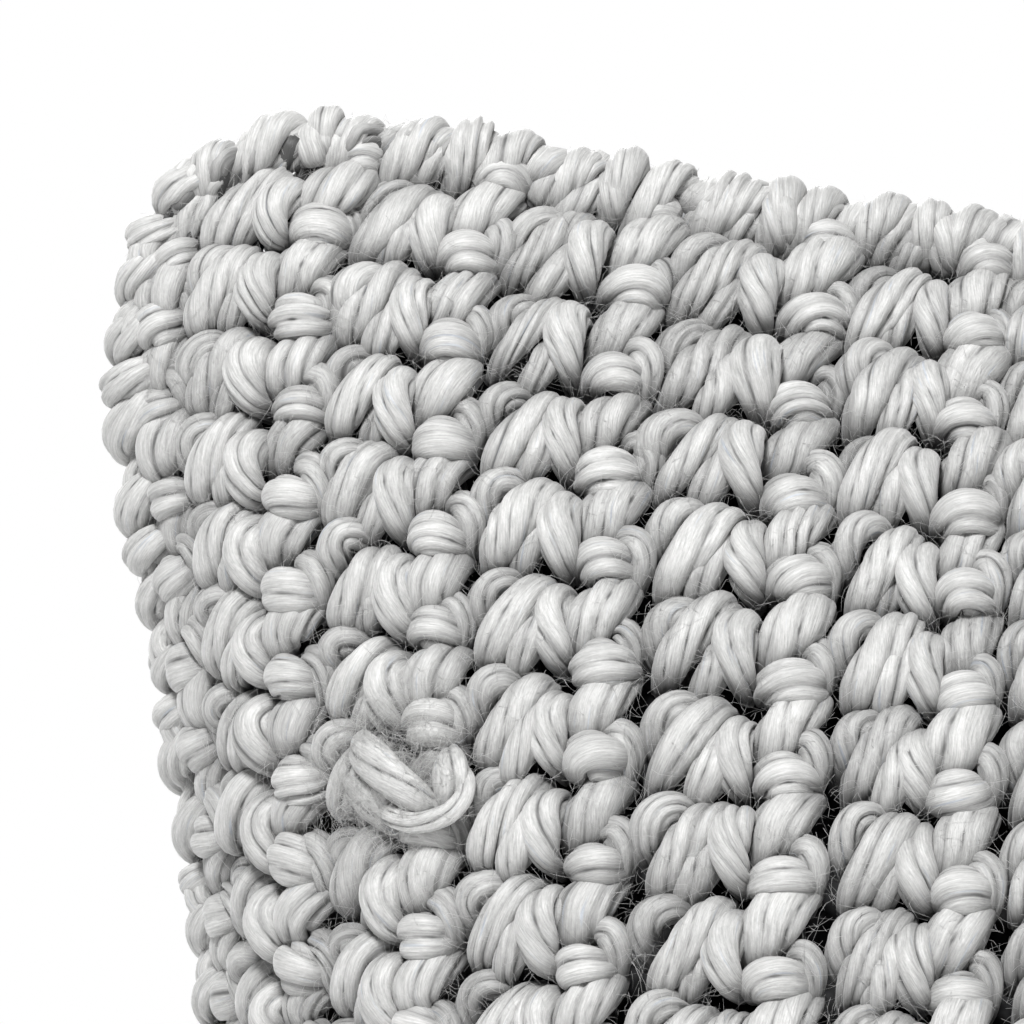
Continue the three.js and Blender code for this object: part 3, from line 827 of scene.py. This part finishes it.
def make_zip_end_seams(back, material):
    """Beyond the zip's ends, turns of joining yarn cross the slit."""
    for name, sign in (("left", 1), ("right", -1)):
        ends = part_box(f"seam_yarn_zip_{name}")
        inner, outer = sorted(abs(end[0]) / MM for end in ends)
        reach = sign * np.arange(inner + ZIP_END_PITCH / 2, outer - ZIP_END_PITCH, ZIP_END_PITCH)
        s, _ = back.find(reach, np.full_like(reach, ZIP_Z))
        s = np.concatenate([s, s[-1] + (s[-1] - s[-2]) * np.arange(1, ZIP_END_SPARE + 1)])

        def to_place(along, inwards):
            column = np.interp(along, np.arange(len(s)), s)
            return column + ZIP_END_LEAN * inwards * sign, back.zip_stitch(column) + inwards * ZIP_END_REACH

        yarn = Yarn()
        rng = np.random.RandomState(SEED + sign)
        cap_run(yarn, back, to_place, CAPS[1], np.arange(len(s)).astype(float), rng, False)
        finish_piece(yarn.mesh(f"joining_yarn_zip_{name}", material), "yarn", f"seam_yarn_zip_{name}")


# The yarn join: a lump of worked-in yarn with a loop, on the front ---
# Each strand: (mm right of the top left corner, mm below it, height), and the half widths and thicknesses
JOIN_STRANDS = {
    "tail": {
        "points": [(36.0, 94.5, -4.0), (38.8, 97.0, 0.8), (43.0, 101.0, 2.2), (46.6, 104.0, 1.6),
                   (49.6, 106.6, -2.0)],
        "wide": (1.6, 2.8, 3.2, 2.6, 1.2), "thick": (1.0, 2.0, 2.4, 2.0, 1.0),
    },
    "filling": {
        "points": [(50.2, 95.6, -3.5), (51.2, 98.8, -0.4), (51.4, 102.2, 0.2), (50.2, 106.0, -1.5)],
        "wide": (1.0, 2.6, 3.0, 1.6), "thick": (1.0, 1.8, 2.0, 1.2),
    },
    "loop": {
        "points": [(52.6, 99.4, -2.5), (54.0, 101.6, 0.2), (53.6, 104.4, 1.2), (51.2, 106.9, 1.8),
                   (46.8, 108.0, 1.8), (42.6, 106.6, 0.8), (39.4, 104.4, -2.5)],
        "wide": (1.0, 1.4, 1.6, 1.7, 1.7, 1.5, 1.0), "thick": (0.9, 1.1, 1.3, 1.3, 1.3, 1.2, 0.9),
    },
    "wrap": {
        "points": [(34.0, 99.0, -4.5), (37.5, 102.0, -0.6), (40.5, 105.2, -0.8), (43.0, 108.6, -4.0)],
        "wide": (2.0, 3.0, 3.0, 1.8), "thick": (1.6, 2.2, 2.2, 1.6),
    },
}
JOIN_STEPS = 40
JOIN_SIDES = 48
JOIN_PLIES = (3, 5)
JOIN_TWIST = 0.05
JOIN_FUZZ = 1500  # loose fibres
JOIN_FUZZ_REACH = (0.22, 0.42)  # their spread, in pairs of rows and in stitches
JOIN_FUZZ_LENGTHS = (1.0, 5.0)
JOIN_FUZZ_HEIGHTS = (0.0, 3.6)


def make_yarn_join(front, material):
    low, high = CAD_BOUNDS
    corner_x, corner_z = low[0] / MM, high[2] / MM
    rng = np.random.RandomState(SEED)
    yarn = Yarn()
    for strand in JOIN_STRANDS.values():
        path, wide, thick = (values[None] for values in smooth_strand(strand, JOIN_STEPS))
        s, t = front.find(corner_x + path[..., 0], corner_z - path[..., 1])
        points, normals = front.place(s, t, path[..., 2])
        yarn.sweep(points, normals, path[..., 2], wide, thick, JOIN_SIDES, rng, JOIN_PLIES, JOIN_TWIST)
    finish_piece(yarn.mesh("worked_in_yarn", material), "yarn", "yarn_join")
    middle = np.mean(JOIN_STRANDS["tail"]["points"], axis=0)
    s, t = front.find(np.array([corner_x + middle[0]]), np.array([corner_z - middle[1]]))
    across, down = (rng.normal(at, reach, JOIN_FUZZ) for at, reach in zip((s, t), JOIN_FUZZ_REACH))
    loose_fibres("loose_fibres_join", front, across, down, JOIN_FUZZ_LENGTHS, rng, material,
                 JOIN_FUZZ_HEIGHTS)


# Loose fibres ---
FIBRE_STEPS = 4
FIBRE_SIDES = 3
FIBRE_HALF_WIDTH = 0.032
FIBRE_TAPER = 0.6
FIBRE_HEIGHTS = (-3.0, 0.2)  # where a fibre starts, from the skin
FIBRE_LIFT = 0.22  # how far a fibre rises off the yarn, as a share of its length
FIBRE_CURL = 0.8
FIBRE_KINK = (0.6, 2.2)  # half waves
NEAR_FIBRES = 7000  # of each length near the corner
NEAR_LENGTHS = {"short": (0.8, 3.0), "long": (2.0, 6.0)}
NEAR_MARGIN = (0.2, 0.4)  # pairs and stitches that they reach past the rims
EDGE_FIBRES = 2400  # along each of the two edges beside the corner
EDGE_LENGTHS = (0.6, 2.6)
EDGE_HEIGHTS = (-1.5, 0.5)
EDGE_LIFT = 0.35
EDGE_SPREAD = (0.1, 0.2)  # pairs and stitches
FAR_FIBRES = 1800
FAR_LENGTHS = (3.0, 9.0)
ZIP_CLEAR = 1.2  # stitches from the zip that stay free of them


def loose_fibres(name, side, s, t, lengths, rng, material, heights=FIBRE_HEIGHTS, rise=FIBRE_LIFT):
    """Fine curved fibres that have worked loose from the yarn, starting at the places s and t."""
    n = len(s)
    start = rng.uniform(*heights, n)
    points, normals = side.place(s, t, start)
    aside = unit(np.cross(normals, rng.normal(0, 1, (n, 3))))
    curl = unit(np.cross(normals, aside)) * rng.normal(0, FIBRE_CURL, (n, 1))
    lift = normals * np.abs(rng.normal(0, rise, (n, 1)))
    length = rng.uniform(*lengths, (n, 1))
    u = np.linspace(0, 1, FIBRE_STEPS)[None, :, None]
    kink = np.sin(u * math.pi * rng.uniform(*FIBRE_KINK, (n, 1, 1)))
    offset = aside[:, None] * u + lift[:, None] * kink + curl[:, None] * u * u
    path = points[:, None] + length[:, None] * offset
    half = np.full((n, FIBRE_STEPS), FIBRE_HALF_WIDTH) * (1 - FIBRE_TAPER * u[..., 0])
    up = np.broadcast_to(normals[:, None], path.shape)
    # Each point's height above the skin, which sets the painted shade of recesses in the yarn material.
    height = start[:, None] + np.einsum("nmi,ni->nm", path - points[:, None], normals)
    yarn = Yarn()
    yarn.sweep(path, up, height, half, half, FIBRE_SIDES, rng, plies=None, twist=0.0)
    finish_piece(yarn.mesh(name, material), "yarn")


def make_loose_fibres(front, back, material):
    """Many short fibres near the corner and along its edges, and fewer long ones all over."""
    rng = np.random.RandomState(SEED + 1)
    n = EDGE_FIBRES
    side_edge = rng.normal(FIRST_PAIR, EDGE_SPREAD[0], n), rng.uniform(0, FINE_STITCHES, n)
    top_edge = rng.uniform(FIRST_PAIR, FINE_PAIRS, n), rng.normal(0, EDGE_SPREAD[1], n)
    for name, lengths in NEAR_LENGTHS.items():
        s = rng.uniform(FIRST_PAIR - NEAR_MARGIN[0], FINE_PAIRS, NEAR_FIBRES)
        t = rng.uniform(-NEAR_MARGIN[1], FINE_STITCHES, NEAR_FIBRES)
        loose_fibres(f"loose_fibres_{name}", front, s, t, lengths, rng, material)
    s, t = np.concatenate([side_edge, top_edge], axis=1)
    loose_fibres("loose_fibres_edges", front, s, t, EDGE_LENGTHS, rng, material, EDGE_HEIGHTS, EDGE_LIFT)
    for name, side in (("front", front), ("back", back)):
        s = rng.uniform(FIRST_PAIR, FIRST_PAIR + PAIRS, FAR_FIBRES)
        t = rng.uniform(0, STITCHES - 1, FAR_FIBRES)
        keep = (side is front) | (abs(t - side.zip_stitch(s)) >= ZIP_CLEAR)
        loose_fibres(f"loose_fibres_{name}", side, s[keep], t[keep], FAR_LENGTHS, rng, material)


# Inside the cover ---
INNER_CELLS = 56


def inner_sheet(name, side, outer, inner, low, high, material):
    """A thin closed sheet between two depths, from height share low to high."""
    across = np.sin(math.pi / 2 * np.linspace(-1, 1, INNER_CELLS + 1))
    upright = np.sin(np.linspace(math.asin(low), math.asin(high), INNER_CELLS + 1))
    a, b = np.meshgrid(across, upright)
    layers = []
    for depth, edge in (outer, inner):
        points = skin(a, b, side, depth)
        points[..., 1] += side * edge
        layers.append(above_floor(points, depth).reshape(-1, 3))
    count = len(layers[0])
    row = INNER_CELLS + 1
    faces = []
    for j in range(INNER_CELLS):
        for i in range(INNER_CELLS):
            p = j * row + i
            faces.append((p, p + 1, p + row + 1, p + row))
            faces.append((p + count, p + count + row, p + count + row + 1, p + count + 1))
    rim = [*range(row), *range(2 * row - 1, row * row, row)]
    rim += [*range(row * row - 2, row * (row - 1) - 1, -1), *range(row * (row - 2), 0, -row)]
    for p, q in zip(rim, rim[1:] + rim[:1]):
        faces.append((p, p + count, q + count, q))
    if side > 0:
        faces = [face[::-1] for face in faces]
    mesh = bpy.data.meshes.new(name)
    mesh.from_pydata((np.concatenate(layers) * MM).tolist(), [], faces)
    mesh.shade_smooth()
    return add_piece(name, mesh, material)


LINING = ((16.0, 0.4), (16.8, 0.4))  # depth and distance from the middle plane at the rim
RIM_SHARE = 0.998
LINING_ZIP_GAP = 13.0  # mm from the zip's middle to the lining


def height_share(z):
    """The height share of a height, at the middle of the pillow's width."""
    return (z - MIDDLE_Z) / (FULL_HEIGHT / 2 - LINING[0][0] - BOTTOM_PULL_IN)


def make_linings(material):
    """The lining's three sheets."""
    zip_low, zip_high = (height_share(ZIP_Z + LINING_ZIP_GAP * sign) for sign in (-1, 1))
    sheets = (
        ("front", -1, -RIM_SHARE, RIM_SHARE, (0.41, 0.43), "front_row_02"),
        ("back_upper", 1, zip_high, RIM_SHARE, (0.41, 0.33), "back_upper_row_02"),
        ("back_lower", 1, -RIM_SHARE, zip_low, (0.41, 0.09), "back_lower_row_02"),
    )
    for name, side, low, high, flat, held_by in sheets:
        piece = inner_sheet(f"lining_sheet_{name}", side, *LINING, low, high, material)
        finish_piece(piece, "lining", f"lining_{name}")


INSERT_DEPTH = 18.0
CLOTH_FRAMES = 20
CLOTH_PRESSURE = 4.0
CLOTH_VOXEL = 6.0
CLOTH_START = 7.0  # mm that the simulated shell starts inside its final size
CLOTH_CAP = 6.0  # mm that a point may move
RIM_WELD = 0.05  # mm between points that become one
TICKING_THICK = 0.8
FILL_GAP = 1.2  # mm from the ticking's outside to the fill
THREAD_HALF = 0.6
THREAD_STEPS = 240
THREAD_SIDES = 8
THREAD_PLIES = (2, 3)


def positions(mesh):
    points = np.empty(len(mesh.vertices) * 3, dtype=np.float64)
    mesh.vertices.foreach_get("co", points)
    return points.reshape(-1, 3)


def moved_to(mesh, points):
    mesh.vertices.foreach_set("co", points.ravel())
    mesh.update()


def built_piece(build, name, material):
    """A piece from a bmesh, which is freed."""
    mesh = bpy.data.meshes.new(name)
    build.to_mesh(mesh)
    build.free()
    return add_piece(name, mesh, material)


def applied(piece, kind, **settings):
    """Adds a modifier to a piece and applies it."""
    bpy.context.view_layer.objects.active = piece
    modifier = piece.modifiers.new(kind, kind)
    for key, value in settings.items():
        setattr(modifier, key, value)
    bpy.ops.object.modifier_apply(modifier=modifier.name)


def insert_start(name, material):
    """The insert before it fills out: both skins joined along the rim, with an even mesh."""
    across = np.sin(math.pi / 2 * np.linspace(-1, 1, INNER_CELLS + 1))
    a, b = np.meshgrid(across, across)
    depth = INSERT_DEPTH + CLOTH_START
    build = bmesh.new()
    for side in (-1, 1):
        points = above_floor(skin(a, b, side, depth), depth) * MM
        verts = [[build.verts.new(p) for p in row] for row in points]
        for j in range(INNER_CELLS):
            for i in range(INNER_CELLS):
                ring = (verts[j][i], verts[j][i + 1], verts[j + 1][i + 1], verts[j + 1][i])
                build.faces.new(ring if side < 0 else ring[::-1])
    bmesh.ops.remove_doubles(build, verts=build.verts, dist=RIM_WELD * MM)
    piece = built_piece(build, name, material)
    applied(piece, "REMESH", mode="VOXEL", voxel_size=CLOTH_VOXEL * MM)
    return piece


def blown_up(piece):
    """Lets a cloth simulation fill the piece out under pressure, by a few millimetres at most."""
    start = positions(piece.data)
    cloth = piece.modifiers.new("cloth", "CLOTH")
    cloth.settings.use_pressure = True
    cloth.settings.uniform_pressure_force = CLOTH_PRESSURE
    cloth.settings.effector_weights.gravity = 0
    for number in range(1, CLOTH_FRAMES + 1):
        bpy.context.scene.frame_set(number)
    bpy.context.view_layer.objects.active = piece
    bpy.ops.object.modifier_apply(modifier="cloth")
    bpy.context.scene.frame_set(1)
    moved = positions(piece.data) - start
    reach = np.maximum(np.linalg.norm(moved, axis=1, keepdims=True), TINY)
    moved_to(piece.data, start + moved * np.minimum(1, CLOTH_CAP * MM / reach))


def ticking_half(core, name, side, material):
    """Half of the insert's shell, as a thin cloth, and the points along its seam."""
    build = bmesh.new()
    build.from_mesh(core.data)
    everything = build.verts[:] + build.edges[:] + build.faces[:]
    bmesh.ops.bisect_plane(build, geom=everything, plane_co=(0, 0, 0), plane_no=(0, -side, 0),
                           clear_outer=True)
    edge = np.array([vert.co for vert in build.verts if vert.is_boundary])
    piece = built_piece(build, name, material)
    applied(piece, "SOLIDIFY", thickness=TICKING_THICK * MM, offset=-1.0)
    piece.data.shade_smooth()
    return piece, edge


def insert_thread(edge, material):
    """The thread that joins the ticking's halves, run round the points along their edge."""
    turn = np.arctan2(edge[:, 2] / MM - MIDDLE_Z, edge[:, 0] / MM)
    order = np.argsort(turn)
    at = np.linspace(-math.pi, math.pi, THREAD_STEPS)
    radius = np.interp(at, turn[order], np.hypot(edge[:, 2] / MM - MIDDLE_Z, edge[:, 0] / MM)[order],
                       period=2 * math.pi)
    out = np.stack([np.cos(at), np.zeros_like(at), np.sin(at)], -1)
    path = radius[:, None] * out + np.array([0, 0, MIDDLE_Z])
    half = np.full((1, THREAD_STEPS), THREAD_HALF)
    yarn = Yarn()
    rng = np.random.RandomState(SEED)
    yarn.sweep(path[None], out[None], 0 * half, half, half, THREAD_SIDES, rng, THREAD_PLIES)
    return yarn.mesh("insert_thread", material)


def make_insert(cloth, fill):
    """The stuffed insert: its fill, the two halves of its ticking and the thread between them."""
    core = insert_start("insert_fill", fill)
    blown_up(core)
    for name, side in (("front", -1), ("back", 1)):
        half, edge = ticking_half(core, f"insert_ticking_{name}", side, cloth)
        finish_piece(half, "ticking", f"ticking_{name}")
    finish_piece(insert_thread(edge, cloth), "ticking", "insert_seam")
    normals = np.array([vert.normal for vert in core.data.vertices])
    moved_to(core.data, positions(core.data) - normals * FILL_GAP * MM)
    core.data.shade_smooth()
    finish_piece(core, "fill", "fill_core")


# The zip ---
TOOTH = {"pitch": 2.1, "long": 1.3, "up": (0.6, 2.4), "thick": 2.4, "bevel": 0.3}
TAPE_HALF_THICK = 0.3
COPY_WELD = 0.01  # mm between points that become one
FLAT_ANGLE = math.radians(1.5)  # faces that bend less than this are one
SHARP_ANGLE = math.radians(30)  # edges that bend more than this are softened


METAL_PIECES = (  # piece, CAD node, body, width of its softened edges in mm
    ("slider_body", "zip_slider", "zip_slider", 0.25),
    ("pull_tab", "zip_pull", "zip_pull", 0.3),
    ("end_stop_left", "zip_stop_left", "cover", 0.3),
    ("end_stop_right", "zip_stop_right", "cover", 0.3),
)


def zip_arc():
    """The radius and the centre of the zip's arc, from the axis of the slider's joint and the tape."""
    joint = next(j for j in frame["record"]["behaviour"]["joints"] if j["name"] == "zip_run")
    centre_y = joint["pos_m"][1] / MM
    _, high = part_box("zip_tape_upper")
    return high[1] / MM - centre_y - TAPE_HALF_THICK, centre_y


def make_teeth(material):
    radius, centre_y = zip_arc()
    for name, sign, phase in (("upper", 1, 0.0), ("lower", -1, 0.5)):
        node = f"zip_chain_{name}"
        _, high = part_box(node)
        half = math.asin(high[0] / MM / radius)
        count = int(2 * half * radius / TOOTH["pitch"]) - 1
        build = bmesh.new()
        for k in range(count):
            angle = -half + (k + 0.5 + phase) * TOOTH["pitch"] / radius
            made = bmesh.ops.create_cube(build, size=1.0)["verts"]
            middle = sign * sum(TOOTH["up"]) / 2
            for vert in made:
                along = vert.co.x * TOOTH["long"]
                up = middle + vert.co.z * (TOOTH["up"][1] - TOOTH["up"][0])
                out = vert.co.y * TOOTH["thick"]
                turn = angle + along / radius
                vert.co = Vector(((radius + out) * math.sin(turn), centre_y + (radius + out) * math.cos(turn),
                                  ZIP_Z + up)) * MM
        bmesh.ops.bevel(build, geom=build.edges[:], offset=TOOTH["bevel"] * MM, segments=2, profile=0.6,
                        affect="EDGES")
        finish_piece(built_piece(build, f"zip_teeth_{name}", material), "teeth", node)


def bevelled_copy(name, node, body, width, material):
    """A copy of a CAD node's mesh with softened edges, which stands for the node."""
    source = bpy.data.objects[node]
    build = bmesh.new()
    build.from_mesh(source.data)
    bmesh.ops.remove_doubles(build, verts=build.verts, dist=COPY_WELD * MM)
    bmesh.ops.dissolve_limit(build, angle_limit=FLAT_ANGLE, verts=build.verts, edges=build.edges)
    paired = [edge for edge in build.edges if len(edge.link_faces) == 2]
    sharp = [edge for edge in paired if edge.calc_face_angle() > SHARP_ANGLE]
    bmesh.ops.bevel(build, geom=sharp, offset=width * MM, segments=3, profile=0.5, affect="EDGES",
                    clamp_overlap=True)
    piece = built_piece(build, name, material)
    piece.data.shade_smooth()
    piece.matrix_world = source.matrix_world
    finish_piece(piece, "zip_metal", node, body=body)


def make_zip(tape, teeth, metal):
    for name in ("zip_tape_upper", "zip_tape_lower"):
        node = bpy.data.objects[name]
        node.data.materials.clear()
        node.data.materials.append(tape)
    make_teeth(teeth)
    for copied in METAL_PIECES:
        bevelled_copy(*copied, metal)


# Stage ---
CAMERA_DISTANCE = 1350.0  # from the pillow's middle plane
VIEW_WIDTH = 151.0  # at the pillow's nearer skin
CORNER_IN_VIEW = (0.0996, 0.0917)  # the corner's place, in shares of the view from its left and top
SKIN_DISTANCE = 50.0  # how far the skin near the corner is in front of the middle plane
SENSOR_WIDTH = 36.0
FLOOR_HALF = 3.0  # m


def make_camera():
    low, high = CAD_BOUNDS
    camera = bpy.data.cameras.new("camera")
    camera.sensor_width = SENSOR_WIDTH
    camera.lens = SENSOR_WIDTH * (CAMERA_DISTANCE - SKIN_DISTANCE) / VIEW_WIDTH
    holder = bpy.data.objects.new("camera", camera)
    centre_x = low[0] + (0.5 - CORNER_IN_VIEW[0]) * VIEW_WIDTH * MM
    centre_z = high[2] - (0.5 - CORNER_IN_VIEW[1]) * VIEW_WIDTH * MM
    holder.location = (centre_x, -CAMERA_DISTANCE * MM, centre_z)
    holder.rotation_euler = (math.pi / 2, 0, 0)
    bpy.context.scene.collection.objects.link(holder)
    bpy.context.scene.camera = holder


def area_light(name, location, target, size, power):
    light = bpy.data.lights.new(name, "AREA")
    light.shape = "DISK"
    light.size = size
    light.energy = power
    holder = bpy.data.objects.new(name, light)
    holder.location = location
    direction = Vector(target) - Vector(location)
    holder.rotation_mode = "QUATERNION"
    holder.rotation_quaternion = direction.to_track_quat("-Z", "Y")
    bpy.context.scene.collection.objects.link(holder)


AMBIENT = 0.14
LIGHTS = (  # name, place, target and size in m, power
    ("key", (-0.45, -1.1, 1.6), (-0.12, 0, 0.3), 0.5, 46.5),
    ("fill", (1.2, -1.6, 0.5), (0, 0, 0.25), 1.2, 5.0),
    ("back_fill", (-0.6, 1.8, 1.4), (0, 0, 0.2), 1.2, 46.5),
)


def make_light():
    """A white backdrop that lights the pillow only weakly, a soft key from above the front, and fills."""
    world = bpy.data.worlds.new("studio")
    world.use_nodes = True
    tree = world.node_tree
    background = tree.nodes["Background"]
    background.inputs["Color"].default_value = (1, 1, 1, 1)
    path = tree.nodes.new("ShaderNodeLightPath")
    strength = tree.nodes.new("ShaderNodeMapRange")
    strength.inputs["To Min"].default_value = AMBIENT
    strength.inputs["To Max"].default_value = 1.0
    tree.links.new(path.outputs["Is Camera Ray"], strength.inputs["Value"])
    tree.links.new(strength.outputs["Result"], background.inputs["Strength"])
    bpy.context.scene.world = world
    for light in LIGHTS:
        area_light(*light)


def make_floor(material):
    mesh = bpy.data.meshes.new("floor")
    corners = [(x * FLOOR_HALF, y * FLOOR_HALF, 0) for x, y in ((-1, -1), (1, -1), (1, 1), (-1, 1))]
    mesh.from_pydata(corners, [], [(0, 1, 2, 3)])
    add_piece("floor", mesh, material)


bpy.context.scene.view_settings.view_transform = "Standard"
make_camera()
make_light()
make_floor(new_material("floor_white", (0.86, 0.86, 0.86), 0.9)[0])
yarn_grey = yarn_material()
front_side = Side(-1)
back_side = Side(1)
make_panels(front_side, back_side, yarn_grey)
make_seams(front_side, yarn_grey)
make_zip_end_seams(back_side, yarn_grey)
make_yarn_join(front_side, yarn_grey)
make_loose_fibres(front_side, back_side, yarn_grey)
# The lining is real cloth behind the crochet, but its near-black colour is partly painted shade, so that the
# pits between the strands look dark.
make_linings(woven_material("lining_dark", (0.018, 0.018, 0.019), (0.045, 0.045, 0.047), 2.2, 0.9))
make_insert(woven_material("ticking_white", (0.62, 0.61, 0.57), (0.82, 0.81, 0.77), 2.6, 0.85),
            fill_material())
make_zip(woven_material("zip_tape", (0.20, 0.20, 0.19), (0.40, 0.40, 0.38), 1.6, 0.8),
         hard_material("teeth_plastic", (0.36, 0.36, 0.35), 0.4, 0.0, 0.12),
         hard_material("zip_metal", (0.42, 0.42, 0.43), 0.34, 1.0, 0.15))
